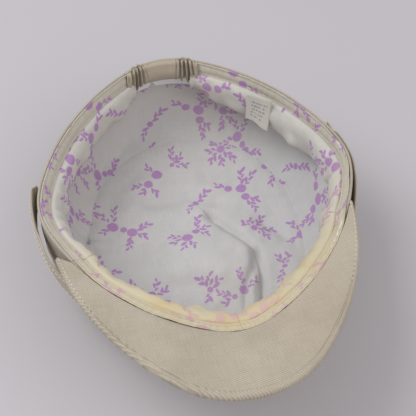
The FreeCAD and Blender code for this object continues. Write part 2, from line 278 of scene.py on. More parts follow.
# Woven cloth: two sets of threads cross; twill shifts each row so that diagonal ribs appear.
weave, weave_in, weave_out = new_group(
    "woven_threads", [("Cloth mm", "NodeSocketVector", None), ("Pitch mm", "NodeSocketFloat", 0.7),
                      ("Twill", "NodeSocketFloat", 1.0), ("Slub", "NodeSocketFloat", 0.5)],
    [("Height", "NodeSocketFloat"), ("Shade", "NodeSocketFloat")])
w = Wiring(weave)
wander = w.noise(weave_in.outputs["Cloth mm"], 0.12, 3.0)
cloth_axes = w.parts(weave_in.outputs["Cloth mm"])
turn = w.math("DIVIDE", 6.2832, weave_in.outputs["Pitch mm"])
across = w.math("ADD", cloth_axes[0], w.math("MULTIPLY", wander, 1.2))
along = w.math("ADD", cloth_axes[1], w.math("MULTIPLY", wander, 1.0))
warp = w.math("SINE", w.math("MULTIPLY", across, turn))
weft = w.math("SINE", w.math("MULTIPLY", along, turn))
rib = w.math("SINE", w.math("MULTIPLY", w.math("ADD", across, along), turn))
plain = w.math("MULTIPLY", warp, weft)
threads = w.add("ShaderNodeMix", [(0, weave_in.outputs["Twill"]), (2, plain), (3, rib)])
stretched, stretched_up = (
    w.add("ShaderNodeMapping", [("Vector", weave_in.outputs["Cloth mm"]), ("Scale", scale)])
    for scale in ((0.09, 1.6, 1), (1.6, 0.09, 1)))
slubs = w.math("ADD", w.noise(stretched, 1.0, 2.0), w.noise(stretched_up, 1.0, 2.0))
slubs = w.math("MULTIPLY", w.math("SUBTRACT", slubs, 1.0), weave_in.outputs["Slub"])
w.links.new(w.math("ADD", w.math("MULTIPLY", threads, 0.3), slubs), weave_out.inputs["Height"])
grain = w.math("ADD", w.math("MULTIPLY", threads, 0.24), w.math("MULTIPLY", slubs, 1.1))
w.links.new(w.math("ADD", grain, 0.5), weave_out.inputs["Shade"])

# Wear and washing: cloudy fading, and grime that darkens where the mask from noise is strong.
aging, aging_in, aging_out = new_group(
    "washed_and_worn",
    [("Colour", "NodeSocketColor", (1, 1, 1, 1)), ("Place", "NodeSocketVector", None),
     ("Fade", "NodeSocketFloat", 0.15), ("Grime", "NodeSocketColor", (0.5, 0.42, 0.3, 1)),
     ("Grime amount", "NodeSocketFloat", 0.2), ("Specks", "NodeSocketFloat", 0.3)],
    [("Colour", "NodeSocketColor")])
w = Wiring(aging)
place = aging_in.outputs["Place"]
cloud = w.ramp(w.noise(place, 28.0, 4.0, 0.6), 0.3, 0.7)
faded = w.mix(w.math("MULTIPLY", cloud, aging_in.outputs["Fade"]), aging_in.outputs["Colour"],
              (1, 1, 1, 1), "SOFT_LIGHT")
patch = w.ramp(w.noise(place, 13.0, 3.0), 0.48, 0.8)
grimy = w.mix(w.math("MULTIPLY", patch, aging_in.outputs["Grime amount"]), faded,
              aging_in.outputs["Grime"])
speck_cells = w.add("ShaderNodeTexVoronoi", [("Vector", place), ("Scale", 210.0)])
speck = w.math("MULTIPLY", w.ramp(speck_cells, 0.03, 0.09, 1.0, 0.0),
               w.ramp(w.noise(place, 60.0), 0.5, 0.62))
specked = w.mix(w.math("MULTIPLY", speck, aging_in.outputs["Specks"]), grimy, (0.16, 0.12, 0.09, 1))
w.links.new(specked, aging_out.inputs["Colour"])


def placed(wiring, group, values):
    """A node group set into a material; returns its outputs."""
    return wiring.add("ShaderNodeGroup", values, node_tree=group).node.outputs


def new_material(name, settings):
    """A material whose shader has its plain sockets set; returns it with its wiring and shader."""
    material = bpy.data.materials.new(name)
    material.use_nodes = True
    wiring = Wiring(material.node_tree)
    shader = wiring.nodes["Principled BSDF"]
    for socket, value in settings.items():
        shader.inputs[socket].default_value = value
    return material, wiring, shader


def surface_bump(wiring, shader, height, strength, distance):
    """Let the light catch a pattern's height, whose full step is `distance` metres."""
    bump = wiring.add("ShaderNodeBump", [("Strength", strength), ("Distance", distance),
                                         ("Height", height)])
    wiring.links.new(bump, shader.inputs["Normal"])


def cloth_coordinates(wiring):
    """The cloth UV map, whose unit is one millimetre of cloth."""
    return wiring.add("ShaderNodeUVMap", uv_map="cloth")


def object_coordinates(wiring):
    """Object coordinates, in metres."""
    return wiring.add("ShaderNodeTexCoord", output=3)


def twill_material(name, colour, pitch=1.5):
    """Beige cotton twill: diagonal ribs, slubs, washed-out clouds, small specks."""
    material, wiring, shader = new_material(name, {
        "Roughness": 0.92, "Specular IOR Level": 0.18, "Sheen Weight": 0.12, "Sheen Roughness": 0.6})
    woven = placed(wiring, weave, [("Cloth mm", cloth_coordinates(wiring)), ("Pitch mm", pitch),
                                   ("Twill", 0.75), ("Slub", 0.32)])
    dark, light = [c * 0.80 for c in colour], [min(1, c * 1.16) for c in colour]
    body = wiring.mix(wiring.ramp(woven["Shade"], 0.2, 0.8), (*dark, 1), (*light, 1))
    grime = [c * m for c, m in zip(colour, (0.86, 0.78, 0.66))]
    worn = placed(wiring, aging, [("Colour", body), ("Place", object_coordinates(wiring)), ("Fade", 0.25),
                                  ("Grime", (*grime, 1)), ("Grime amount", 0.25), ("Specks", 0.35)])
    wiring.links.new(worn["Colour"], shader.inputs["Base Color"])
    surface_bump(wiring, shader, woven["Height"], 0.35, 0.0002)
    return material


twill = twill_material("beige_twill", (0.435, 0.38, 0.29))

PANELS = 8
dimple_depth = 3.6
full_turn = 2 * np.pi
middle_rows, lower_rows, upper_rows = 26, 14, 8


def crown_grid(angle):
    """Outer face of the crown: rings grow from the button's dimple to the flattened base, round the
    puff by a quarter sine, and draw in to the seam by a quarter cosine."""
    out = np.linspace(0.06, 1, middle_rows)[:-1]
    base_x, base_y = oval(BASE, angle)
    x_rows, y_rows = out[:, None] * base_x, out[:, None] * base_y
    radius = np.hypot(x_rows, y_rows)
    z_rows = dimple_depth * (1 - smooth_step(radius, 9, 16)) + 0.15
    lower = np.linspace(0, np.pi / 2, lower_rows)
    rings = BASE + (PUFF - BASE) * np.sin(lower)[:, None]
    heights = 0.15 + (puff_z - 0.15) * (1 - np.cos(lower))
    upper = np.linspace(0, np.pi / 2, upper_rows + 1)[1:]
    rings = np.concatenate([rings, SEAM + (PUFF - SEAM) * np.cos(upper)[:, None]])
    heights = np.concatenate([heights, puff_z + (seam_z - puff_z) * np.sin(upper)])
    x, y = oval(rings, angle)
    x, y = np.concatenate([x_rows, x]), np.concatenate([y_rows, y])
    z = np.concatenate([z_rows, np.broadcast_to(heights[:, None], (len(heights), len(angle)))])
    return np.stack([x, y, z], -1)


def crown_folds(points, share):
    """Soft slack of the crown cloth: slight waves, a groove along each gore seam, and small puckers
    where the crown is eased into the band. `share` runs 0 to 1 across a gore."""
    x, y, z = np.moveaxis(points, -1, 0)
    height = smooth_step(z, 3, 20)
    waves = 1.3 * ripple(x + z, y - z, 5, 46) * height
    easing = 0.7 * np.sin(np.arctan2(y, x) * 34 + 2 * ripple(x, y, 8, 60)) * smooth_step(z, puff_z, seam_z)
    groove = -0.9 * np.exp(-(np.minimum(share, 1 - share) / 0.035) ** 2) * smooth_step(z, 0.5, 8)
    return waves + easing + groove


gore_columns = 41
for number in range(PANELS):
    share = np.linspace(0, 1, gore_columns)
    angle = (number + share) * full_turn / PANELS
    points = crown_grid(angle)
    points = points + grid_normals(points) * crown_folds(points, share[None, :])[..., None]
    points[..., 2] = np.maximum(points[..., 2], 0.05)
    name = "crown_panel_%d" % (number + 1)
    gore = grid_mesh("crown_gore_%d" % (number + 1), points, cloth_uv(points, (number * 37.0, 0)))
    gore.data.materials.append(twill)
    thicken(gore, 0.8)
    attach(gore, "cap")
    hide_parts(name)

# ---------------------------------------------------------------- button
# A pressed metal blank covered with a circle of the same twill, gathered underneath and sewn into
# the dimple where the gores meet. Its face is level with the crown.

button_columns = 97
turn_angle = np.linspace(0, full_turn, button_columns)
# profile from the middle of the face, round the edge and in underneath, where it is gathered
radii = np.array([0.02, 2, 4, 6, 8, 9.2, 10.0, 10.4, 10.5, 10.3, 9.6, 8.6, 7.5, 6.5])
heights = np.array([0, 0, 0, 0, 0.02, 0.12, 0.4, 0.95, 1.6, 2.3, 2.85, 3.1, 3.2, 3.2])
pleats = 0.14 * np.cos(turn_angle * 22)[None, :] * smooth_step(heights, 0.8, 3.0)[:, None]
button_points = np.stack([(radii[:, None] + pleats) * np.cos(turn_angle),
                          (radii[:, None] + pleats) * np.sin(turn_angle),
                          np.broadcast_to(heights[:, None], (len(heights), button_columns))], -1)
button = grid_mesh("button_cloth", button_points, button_points[..., :2], closed=True)
button.data.materials.append(twill)
thicken(button, 0.6)
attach(button, "cap")
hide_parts("button_cover")


def plain_material(name, colour, roughness, noise_scale, spread=0.06, metallic=0.0, sheen=0.0):
    """A hidden or small part's finish: one colour broken up by fine noise, with a matching bump."""
    material, wiring, shader = new_material(name, {"Metallic": metallic, "Sheen Weight": sheen})
    noise = wiring.noise(object_coordinates(wiring), noise_scale, 4.0, 0.6)
    low, high = [c * (1 - spread) for c in colour], [min(1, c * (1 + spread)) for c in colour]
    wiring.links.new(wiring.mix(wiring.ramp(noise, 0.3, 0.7), (*low, 1), (*high, 1)),
                     shader.inputs["Base Color"])
    wiring.links.new(wiring.ramp(noise, 0.2, 0.8, roughness - 0.08, roughness + 0.05),
                     shader.inputs["Roughness"])
    surface_bump(wiring, shader, noise, 0.25, 0.0002)
    return material


def finish_node(node, material):
    """Give a CAD node that stays its material."""
    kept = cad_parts[node]
    kept.data.materials.clear()
    kept.data.materials.append(material)


finish_node("button_core", plain_material("pressed_blank", (0.55, 0.54, 0.52), 0.45, 900, metallic=0.9))

# ---------------------------------------------------------------- lining
# Thin white cotton printed with lilac sprigs: a flat oval top and a side wall in two halves, sewn
# together inside the crown. It is a little too big for the crown, so it lies in folds and puckers.

PRINT_TILE = 124.0
LEAF_HALF = (0.8, 1.85)
# blossoms as (x, y, radius) and the headings, in degrees, of the leaf sprays that leave them
SPRIGS = [
    ([(-10, 56.5, 3.0), (-16.5, 50.4, 2.5), (0.5, 61, 1.4)], (35, 80, 130, 185, 230, 300, 345)),
    ([(-43.5, 23.5, 3.0), (-37.5, 20.7, 1.9), (-33, 17.9, 2.8)], (120, 75, 20, 330, 250, 215)),
    ([(30, 37.4, 2.2), (37.5, 35.5, 3.0), (38.5, 29, 2.4)], (150, 75, 40, 330, 290)),
    ([(60, 40, 2.9), (54.5, 44, 1.8), (66.5, 37.5, 2.6)], (100, 60, 10, 320, 275, 240)),
    ([(2.9, 8.3, 2.1), (-3.2, 4, 3.0)], (70, 20, 330, 290, 245, 190, 150)),
    ([(8.2, 31, 1.7)], (40, 225)),
    ([(32, 64, 2.3)], (0, 40, 85, 130, 175, 215, 260, 305)),
    ([(37, 4, 1.9)], (100, 50, 350, 310, 140)),
    ([(-37.4, -23.9, 3.0), (-30.5, -26.5, 2.3)], (115, 60, 15, 310, 150)),
    ([(1, -34, 1.6)], (80, 120, 30, 250)),
    ([(19, -39, 2.4), (13, -42, 1.5)], (90, 150, 30, 200)),
    ([(46, -28, 1.5)], (60, 240, 100)),
    ([(-62, -8, 2.6), (-58, -14, 1.8)], (60, 110, 200, 300)),
    ([(-48, 62, 2.7), (-54, 57, 2.2), (-42, 66, 1.6)], (30, 80, 200, 260, 320)),
    ([(70, -10, 2.2)], (20, 100, 190, 260)),
]

sprig_print, print_in, print_out = new_group(
    "sprig_print", [("Cloth mm", "NodeSocketVector", None), ("Ink", "NodeSocketColor", (0.42, 0.2, 0.5, 1)),
                    ("Cloth colour", "NodeSocketColor", (0.8, 0.8, 0.8, 1))],
    [("Colour", "NodeSocketColor"), ("Mask", "NodeSocketFloat")])
w = Wiring(sprig_print)
shaky = w.add("ShaderNodeTexNoise", [("Vector", print_in.outputs["Cloth mm"]), ("Scale", 0.9),
                                     ("Detail", 2.0)], output=1)
shaky = w.vector("SUBTRACT", shaky, (0.5, 0.5, 0.5))
shaky = w.add("ShaderNodeVectorMath", [(0, shaky), (3, 1.1)], operation="SCALE")
flat_place = w.vector("ADD", print_in.outputs["Cloth mm"], shaky)
flat_place = w.vector("MULTIPLY", flat_place, (1, 1, 0))
nearest = (9.0, 9.0, 9.0)


def three_ovals(across, up, shapes, nearest):
    """Squared distances from the middles of three printed ovals, each 1 at its edge, kept where they
    are smaller than `nearest`. A shape is (x, y, half width, half length, heading)."""
    x, y, width, length, heading = np.array(shapes).T
    cosine, sine = np.cos(heading), np.sin(heading)
    sides = []
    for gain_x, gain_y in ((cosine / length, sine / length), (-sine / width, cosine / width)):
        start = w.vector("MULTIPLY_ADD", up, tuple(gain_y), tuple(-x * gain_x - y * gain_y))
        sides.append(w.vector("MULTIPLY_ADD", across, tuple(gain_x), start))
    total = w.vector("MULTIPLY", sides[0], sides[0])
    total = w.vector("MULTIPLY_ADD", sides[1], sides[1], total)
    return w.vector("MINIMUM", total, nearest)


def component(vector, axis, wiring):
    """One component of a vector socket."""
    picked = tuple(1.0 if k == axis else 0.0 for k in range(3))
    return wiring.vector("DOT_PRODUCT", vector, picked, output=1)


half_tile = PRINT_TILE / 2
for sprig_number, (blossoms, headings) in enumerate(SPRIGS):
    draw = np.random.default_rng(40 + sprig_number)
    middle_x, middle_y = np.mean([b[0] for b in blossoms]), np.mean([b[1] for b in blossoms])
    local = w.vector("SUBTRACT", flat_place, (middle_x, middle_y, 0))
    local = w.vector("WRAP", local, (half_tile, half_tile, 1), (-half_tile, -half_tile, -1))
    across, up = (w.add("ShaderNodeCombineXYZ", [(k, component(local, axis, w)) for k in range(3)])
                  for axis in range(2))
    shapes = [(x - middle_x, y - middle_y, radius, radius * 1.08, 0.0) for x, y, radius in blossoms]
    offsets = np.array([[b[0] - middle_x, b[1] - middle_y] for b in blossoms])
    for degrees in headings:
        heading = np.radians(degrees)
        direction = np.array([np.cos(heading), np.sin(heading)])
        first = np.argmax(offsets @ direction)
        reach = blossoms[first][2] + 2.2
        for leaf in range(int(draw.integers(3, 6))):
            side = 1 if leaf % 2 else -1
            tilt = heading + side * np.radians(draw.uniform(20, 45))
            spot = offsets[first] + direction * reach + np.array([-direction[1], direction[0]]) * side * 0.9
            size_factor = draw.uniform(0.75, 1.2)
            shapes.append((spot[0], spot[1], LEAF_HALF[0] * size_factor, LEAF_HALF[1] * size_factor, tilt))
            reach += draw.uniform(1.4, 2.2)
    while len(shapes) % 3:
        shapes.append(shapes[-1])
    for k in range(0, len(shapes), 3):
        nearest = three_ovals(across, up, shapes[k:k + 3], nearest)
closest = component(nearest, 0, w)
for axis in (1, 2):
    closest = w.math("MINIMUM", closest, component(nearest, axis, w))
mask = w.ramp(closest, 0.78, 1.28, 1.0, 0.0)
uneven = w.ramp(w.noise(flat_place, 1.6, 3.0, 0.7), 0.25, 0.6, 0.62, 1.0)
mask = w.math("MULTIPLY", mask, uneven)
w.links.new(w.mix(mask, print_in.outputs["Cloth colour"], print_in.outputs["Ink"]),
            print_out.inputs["Colour"])
w.links.new(mask, print_out.inputs["Mask"])


def printed_material(name, colour, yellowing, ink=(0.42, 0.215, 0.47), pink_ink=(0.60, 0.40, 0.36)):
    """Printed cotton: fine plain weave, sprigs, and sweat stains that yellow the cloth by the brim."""
    material, wiring, shader = new_material(name, {
        "Roughness": 0.9, "Specular IOR Level": 0.2, "Sheen Weight": 0.15})
    cloth_place, place = cloth_coordinates(wiring), object_coordinates(wiring)
    woven = placed(wiring, weave, [("Cloth mm", cloth_place), ("Pitch mm", 0.6), ("Twill", 0.0),
                                   ("Slub", 0.5)])
    dark, light = [c * 0.90 for c in colour], [min(1, c * 1.06) for c in colour]
    base = wiring.mix(wiring.ramp(woven["Shade"], 0.15, 0.85), (*dark, 1), (*light, 1))
    place_axes = wiring.parts(place)
    drift = wiring.math("MULTIPLY", wiring.math("SUBTRACT", wiring.noise(place, 22.0, 3.0), 0.5), 0.05)
    towards_brim = wiring.ramp(wiring.math("ADD", place_axes[1], drift), 0.01, -0.075)
    near_rim = wiring.ramp(wiring.math("ADD", place_axes[2], drift), 0.03, 0.056)
    stain = wiring.math("MULTIPLY", wiring.math("MULTIPLY", towards_brim, near_rim), yellowing)
    blotch = wiring.math("MULTIPLY", wiring.ramp(wiring.noise(place, 38.0, 3.0), 0.42, 0.66), stain)
    cream = wiring.mix(stain, base, (0.60, 0.53, 0.35, 1))
    cream = wiring.mix(wiring.math("MULTIPLY", blotch, 0.55), cream, (0.60, 0.45, 0.22, 1))
    ink_colour = wiring.mix(stain, (*ink, 1), (*pink_ink, 1))
    printed = placed(wiring, sprig_print, [("Cloth mm", cloth_place), ("Ink", ink_colour),
                                           ("Cloth colour", cream)])
    worn = placed(wiring, aging, [("Colour", printed["Colour"]), ("Place", place), ("Fade", 0.15),
                                  ("Grime", (0.62, 0.55, 0.42, 1)), ("Grime amount", 0.22),
                                  ("Specks", 0.0)])
    wiring.links.new(worn["Colour"], shader.inputs["Base Color"])
    surface_bump(wiring, shader, woven["Height"], 0.3, 0.00015)
    return material


lining_cloth = printed_material("sprig_cotton", (0.575, 0.565, 0.545), 0.5)
LINING_FLOOR = np.array([60, 70, 3, 6, 2.2])
LINING_TURN = np.array([67, 76, 4.4, 8.5, 2.2])
LINING_KNEE = np.array([71.8, 79.6, 5, 10, 2.2])
LINING_NECK = np.array([75.6, 84, 5, 10.4, 2.1])
LINING_INSET = np.array([2.4, 2.4, 0, 0, 0])       # how far it hangs inside the band's outer face
floor_z, turn_z, knee_z, neck_z, lining_top_edge = 11.0, 14.5, 26.0, 34.5, 60.0
knee_rounding = 90


def band_ring_values(z):
    """Ring of the band at height z, between the crown seam and the rim."""
    share = (np.atleast_1d(z)[:, None] - seam_z) / (rim_z - seam_z)
    return SEAM + (RIM - SEAM) * share


def crease(x, y, path, width, depth, step=0.0):
    """A fold along a path of straight runs: a soft valley `width` wide, with the cloth on the path's
    right side standing `step` mm higher near it."""
    closest = np.full(x.shape, 1e9)
    side = np.zeros_like(x)
    for (ax, ay), (bx, by) in zip(path[:-1], path[1:]):
        run = np.array([bx - ax, by - ay])
        length = np.hypot(*run)
        share = np.clip(((x - ax) * run[0] + (y - ay) * run[1]) / length ** 2, 0, 1)
        gap = np.hypot(x - ax - share * run[0], y - ay - share * run[1])
        cross = ((x - ax) * run[1] - (y - ay) * run[0]) / length
        side = np.where(gap < closest, np.sign(cross) * gap, side)
        closest = np.minimum(gap, closest)
    valley = -depth * np.exp(-(closest / width) ** 2)
    return valley + step * smooth_step(side, -1.0, 1.2) * np.exp(-(closest / (width * 3)) ** 2)


# each fold's path over the plan, its width and depth, and the step that stands beside it
LINING_FOLDS = [
    ([(14, 19), (25, 2), (33, -13), (31, -30), (25, -54)], 3.6, 4.0, 3.0),
    ([(33, -13), (28, -26), (20, -40), (16, -58)], 2.4, 2.4),
    ([(-18, 36), (4, 37), (20, 31)], 5.0, 1.9),
    ([(-44, -38), (-18, -24), (2, -34)], 5.0, 2.4),
    ([(44, 8), (58, -10), (60, -34)], 4.5, 2.4),
    ([(-30, 4), (-8, 10), (14, 19)], 4.5, 1.4),
]


def lining_folds(x, y):
    """Height of the lining's folds over the plan: broad waves, one deep overlapping fold towards the
    brim, lesser folds beside it, and a star of puckers where the lining is caught on the left."""
    height = 2.6 * ripple(x, y, 11, 95) + 1.4 * ripple(x, y, 3, 34) + 0.45 * ripple(x, y, 9, 13)
    height += 8.5 * np.exp(-((x - 6) / 27) ** 2 - ((y + 20) / 24) ** 2)
    for path, *shape in LINING_FOLDS:
        height += crease(x, y, path, *shape)
    star_x, star_y = -60.0, 15.0
    for degrees, length in ((70, 15), (5, 13), (-65, 16), (-100, 15), (150, 9)):
        heading = np.radians(degrees)
        end = (star_x + length * np.cos(heading), star_y + length * np.sin(heading))
        height += crease(x, y, [(star_x, star_y), end], 1.5, 1.3)
    return height


def softened(rows, passes):
    """Round the corners of a stack of values from row to row, ends kept."""
    rows = rows.copy()
    for _ in range(passes):
        rows[1:-1] = 0.25 * rows[:-2] + 0.5 * rows[1:-1] + 0.25 * rows[2:]
    return rows


def lining_wall(angle):
    """Side wall of the lining: from the flat top's edge, out over a rounded knee, up to the rim."""
    corner_z = np.array([floor_z, turn_z, knee_z, neck_z, seam_z + 2, lining_top_edge])
    rings = np.stack([LINING_FLOOR, LINING_TURN, LINING_KNEE, LINING_NECK,
                      band_ring_values(seam_z)[0] - LINING_INSET,
                      band_ring_values(lining_top_edge)[0] - LINING_INSET])
    level = np.linspace(0, 5, 101)
    both = np.column_stack([rings, corner_z])
    both = np.column_stack([np.interp(level, np.arange(6), column) for column in both.T])
    both = softened(both, knee_rounding)
    x, y = oval(both[:, :5], angle)
    z = np.broadcast_to(both[:, 5:6], x.shape)
    fade = smooth_step(z, 46, 14)
    lift = lining_folds(x, y) * fade
    soft = 0.9 * ripple(x + z, y - z, 21, 40)
    soft += 0.5 * np.sin(np.arctan2(y, x) * 46) * smooth_step(z, 36, 58)
    points = np.stack([x, y, z + lift], -1)
    return points + grid_normals(points) * (soft * (1 - fade * 0.7))[..., None]


back_seam_angle = np.pi / 2 - 0.37
for side, start, end in (("left", back_seam_angle, np.pi * 1.5), ("right", -np.pi / 2, back_seam_angle)):
    angle = np.linspace(start, end, 191)
    wall_points = lining_wall(angle)
    print_start = (20 if side == "left" else 61, 18)
    wall_piece = grid_mesh("lining_wall_" + side, wall_points[:, ::-1],
                           cloth_uv(wall_points[:, ::-1], print_start))
    wall_piece.data.materials.append(lining_cloth)
    thicken(wall_piece, 0.45, edges=False)
    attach(wall_piece, "cap")
    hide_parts("lining_side_" + side)

around = np.linspace(0, full_turn, 361)
reach_rows = np.linspace(0.004, 1, 90)
floor_edge = lining_wall(around)[0]
floor_x, floor_y = LINING_FLOOR[2:4]
top_x = floor_x + reach_rows[:, None] * (floor_edge[None, :, 0] - floor_x)
top_y = floor_y + reach_rows[:, None] * (floor_edge[None, :, 1] - floor_y)
top_z = floor_z - 5.0 * (1 - smooth_step(reach_rows, 0.6, 1.3)[:, None]) + lining_folds(top_x, top_y)
blend_to_edge = smooth_step(reach_rows, 0.8, 1.0)[:, None]
top_z = top_z * (1 - blend_to_edge) + floor_edge[None, :, 2] * blend_to_edge
top_points = np.stack([top_x, top_y, top_z], -1)[::-1]
lining_top = grid_mesh("lining_flat_top", top_points, top_points[..., :2], closed=True)
lining_top.data.materials.append(lining_cloth)
thicken(lining_top, 0.45, edges=False)
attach(lining_top, "cap")
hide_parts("lining_top")

# ---------------------------------------------------------------- band
# An upright strip of twill, interlined, between the crown and the rim. Its top edge turns inwards
# over the rim. The front part, which carries the brim, is baked in place on its own; the rest rides on the
# cap.

brim_end_angle = np.radians(28)
gap_angle = np.radians(19.5)
SPANS = [("front_left", -np.pi + brim_end_angle, -np.pi / 2, "left"),
         ("front_right", -np.pi / 2, -brim_end_angle, "right"),
         ("back_right", -brim_end_angle, np.pi / 2 - gap_angle, "right"),
         ("back_left", np.pi / 2 + gap_angle, np.pi + brim_end_angle, "left")]
RIM_PER_RADIAN = 91.0           # mm of rim
SOFTNESS_PER_RADIAN = 90.0      # mm, for the unevenness that runs round the rim
hinge_y = -35.0


def hold(piece, span):
    """Front pieces are baked in place and join no body; the others ride on the cap."""
    if span.startswith("front"):
        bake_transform(piece)
    else:
        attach(piece, "cap")


def inward(points_x, points_y, offset):
    """Points moved towards the middle of the opening by `offset` mm."""
    distance = np.hypot(points_x, points_y)
    return points_x * (1 - offset / distance), points_y * (1 - offset / distance)


def columns_for(start, end, spacing=1.6):
    """How many columns a span of the ring needs."""
    return max(12, int((end - start) * RIM_PER_RADIAN / spacing))


def front_share(angle):
    """1 over the front, where the brim is sewn on and the facing comes right over the rim; else 0."""
    return smooth_step(-np.sin(angle), 0.42, 0.62)


band_rows = 24
band_heights = np.append(np.linspace(seam_z, rim_z - 1.0, band_rows), rim_z - np.array([0.35, 0, 0.2, 1.4]))
band_insets = np.append(np.zeros(band_rows), [0.15, 0.7, 1.3, 1.6])
for span, start, end, side in SPANS:
    angle = np.linspace(start, end, columns_for(start, end))
    x, y = oval(band_ring_values(band_heights), angle)
    x, y = inward(x, y, band_insets[:, None])
    z = band_heights[:, None] - 1.6 * front_share(angle) * smooth_step(band_heights, seam_z, rim_z)[:, None]
    points = np.stack([x, y, z], -1)
    softness = smooth_step(z, seam_z, seam_z + 8) * smooth_step(z, rim_z - 1, rim_z - 7)
    dents = 0.4 * ripple(x + z, y, 31, 36) + 0.25 * ripple(x, y + z, 32, 13)
    points = points + grid_normals(points) * (dents * softness)[..., None]
    band_piece = grid_mesh("outer_band_" + span, points, cloth_uv(points, (start * RIM_PER_RADIAN, 0)))
    band_piece.data.materials.append(twill)
    thicken(band_piece, 0.7)
    hold(band_piece, span)
    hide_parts("band_outer_" + side)
finish_node("band_stiffener", plain_material("bonded_interfacing", (0.84, 0.84, 0.82), 0.95, 1500, 0.03))

# ---------------------------------------------------------------- rim facing
# A narrow strip of the printed cotton covers the raw edges inside the rim. Two rows of machine
# stitching hold it and pucker it slightly.

facing_width = 9.4
STITCH_ROWS = (1.8, 6.6)


def strip_lean(angle, down):
    """How far the inner strips lean in from the upright, in radians, `down` mm below the rim. The
    facing slopes in all round; the sweatband under it hangs nearly upright at the back, leans more at
    the sides and lies nearly flat at the front, where the brim pulls the rim out."""
    front = np.clip(-np.sin(angle), 0, 1)
    hang = 8 + 10 * np.cos(angle) ** 2 + 44 * front ** 2.2
    x_place = np.cos(angle) * 86
    hang = hang - 13 * np.exp(-((x_place - 3) / 9) ** 2) * front
    hang = hang + 6 * np.exp(-((x_place + 22) / 12) ** 2) * front
    slope = 24 - 14 * np.cos(angle - np.pi / 4) + 24 * front
    return np.radians(slope + (hang - slope) * smooth_step(down, 6, 11))


def strip_points(angle, down, base_offset, bulge=0.0):
    """Grid of an inner strip: a curve that follows the lean down from the rim, standing `bulge` mm
    proud of it. The lean is added up in half-millimetre steps."""
    steps = np.arange(0, 40, 0.5)[:, None]
    lean = strip_lean(angle[None, :], steps)
    start = np.zeros((1, len(angle)))
    ways = [np.vstack([start, np.cumsum(0.5 * part(lean), 0)[:-1]]) for part in (np.sin, np.cos)]
    down = np.broadcast_to(np.asarray(down, float), (len(down), len(angle)))
    place = np.clip(down / 0.5, 0, len(steps) - 1.001)
    index, share = place.astype(int), place % 1
    columns = np.arange(len(angle))[None, :]
    inwards, below = (way[index, columns] * (1 - share) + way[index + 1, columns] * share for way in ways)
    lean = strip_lean(angle[None, :], down)
    offset = base_offset * (1 - 1.25 * front_share(angle)) + inwards + bulge * np.cos(lean)
    z = rim_z - 0.4 + 0.9 * front_share(angle) - below + bulge * np.sin(lean)
    x, y = oval(RIM, angle)
    x, y = inward(x, y, offset)
    wide = smooth_step(z, rim_z, seam_z) * 2.2 * np.clip(np.sin(angle), 0, 1) ** 0.5
    stretch = 1 + wide / np.hypot(x, y)
    return np.stack([x * stretch, y * stretch, z], -1)


def facing_bulge(down, angle):
    """Two welts between the stitch rows, puckered every stitch or so."""
    down = down[:, None]
    welt = 0.45 * np.abs(np.sin((down - STITCH_ROWS[0]) * np.pi / (STITCH_ROWS[1] - STITCH_ROWS[0])))
    pucker = 0.24 * np.sin(angle * 110 + 3 * np.sin(angle * 17)) * np.exp(-((down - 3.5) / 3) ** 2)
    return welt + pucker + 0.25 * ripple(angle[None, :] * SOFTNESS_PER_RADIAN, down, 51, 22)


facing_cloth = printed_material("facing_cotton", (0.56, 0.52, 0.43), 0.85)
for span, start, end, side in SPANS:
    angle = np.linspace(start, end, columns_for(start, end, 0.9))
    down = np.linspace(0, facing_width, 25)
    points = strip_points(angle, down[:, None], 1.5, facing_bulge(down, angle))
    facing = grid_mesh("rim_facing_" + span, points[::-1],
                       cloth_uv(points[::-1], (start * RIM_PER_RADIAN + 33, 47)))
    facing.data.materials.append(facing_cloth)
    thicken(facing, 0.5)
    hold(facing, span)
    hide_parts("rim_facing")


def stitch_row(name, path, up, pitch=3.0, length=2.2, radius=0.24):
    """A row of machine stitches along a path: each is a short thread, thick in the middle, whose
    ends dip into the cloth. Every stitch is five rings of six points."""
    distance = np.concatenate([[0], np.cumsum(np.linalg.norm(np.diff(path, axis=0), axis=1))])
    centres = np.arange(pitch / 2, distance[-1], pitch)

    def along(values, where):
        return np.stack([np.interp(where, distance, values[:, k]) for k in range(3)], -1)

    middle, ahead = along(path, centres), along(path, centres + 0.5) - along(path, centres - 0.5)
    ahead /= np.linalg.norm(ahead, axis=1, keepdims=True)
    normal = along(up, centres)
    normal -= ahead * np.sum(normal * ahead, axis=1, keepdims=True)
    normal /= np.linalg.norm(normal, axis=1, keepdims=True)
    sideways = np.cross(ahead, normal)
    share = np.array([-1, -0.7, 0, 0.7, 1])
    thick = np.array([0.25, 0.85, 1, 0.85, 0.25])
    lift = 0.12 - 0.3 * share ** 4
    ring_angle = np.arange(6) * np.pi / 3
    rise = lift[:, None] + radius * thick[:, None] * np.cos(ring_angle)
    spread = radius * thick[:, None] * np.sin(ring_angle)
    points = (middle[:, None, None] + ahead[:, None, None] * (share * length / 2)[:, None, None]
              + normal[:, None, None] * rise[..., None] + sideways[:, None, None] * spread[..., None])
    ring, corner = np.meshgrid(np.arange(4), np.arange(6), indexing="ij")
    quad = np.stack([ring * 6 + corner, ring * 6 + (corner + 1) % 6,
                     (ring + 1) * 6 + (corner + 1) % 6, (ring + 1) * 6 + corner], -1).reshape(-1, 4)
    caps = np.array([[0, 5, 4, 3], [0, 3, 2, 1], [24, 25, 26, 27], [24, 27, 28, 29]])
    one = np.concatenate([quad, caps])[:, ::-1]
    faces = (one[None] + 30 * np.arange(len(centres))[:, None, None]).reshape(-1, 4)
    row = store_mesh(name, points.reshape(-1, 3), faces)
    row.data.materials.append(thread)
    return row


